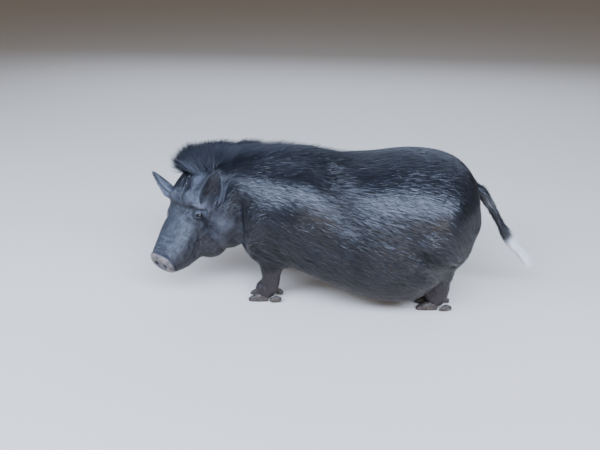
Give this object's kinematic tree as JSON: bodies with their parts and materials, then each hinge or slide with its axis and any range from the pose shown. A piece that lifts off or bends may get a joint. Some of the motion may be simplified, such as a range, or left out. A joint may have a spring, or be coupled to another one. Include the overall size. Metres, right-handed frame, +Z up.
{
  "type": "vietnamese pot-bellied pig",
  "caption": "Black, bristly pot-bellied pig with a sagging belly and short legs, standing with its head lowered and turned to its left.",
  "frame": {"origin": "centre of the whole pig's bounding box in plan, at the height of the soles of the claws", "axes": "the trunk runs along X with the head towards -X and the tail towards +X; the pig's left side is -Y; +Z is up"},
  "size_m": [1.2064, 0.4704, 0.4813],
  "materials": {
    "hide": "near-black skin under a lying coat of bristles with a blue-grey sheen",
    "snout_skin": "bare greyish skin, slightly moist",
    "eye": "wet dark eyeball",
    "horn": "dark, dull, dusty horn"
  },
  "bodies": {
    "root": {"torso": "hide", "neck": "hide", "head": "hide", "snout": "snout_skin", "ear_left": "hide", "ear_right": "hide", "eye_left": "eye", "eye_right": "eye", "leg_fore_left": "hide", "leg_fore_right": "hide", "leg_hind_left": "hide", "leg_hind_right": "hide", "tail": "hide", "claw_fore_left_inner": "horn", "claw_fore_left_outer": "horn", "dewclaw_fore_left_inner": "horn", "dewclaw_fore_left_outer": "horn", "claw_fore_right_inner": "horn", "claw_fore_right_outer": "horn", "dewclaw_fore_right_inner": "horn", "dewclaw_fore_right_outer": "horn", "claw_hind_left_inner": "horn", "claw_hind_left_outer": "horn", "dewclaw_hind_left_inner": "horn", "dewclaw_hind_left_outer": "horn", "claw_hind_right_inner": "horn", "claw_hind_right_outer": "horn", "dewclaw_hind_right_inner": "horn", "dewclaw_hind_right_outer": "horn"}
  },
  "joints": []
}
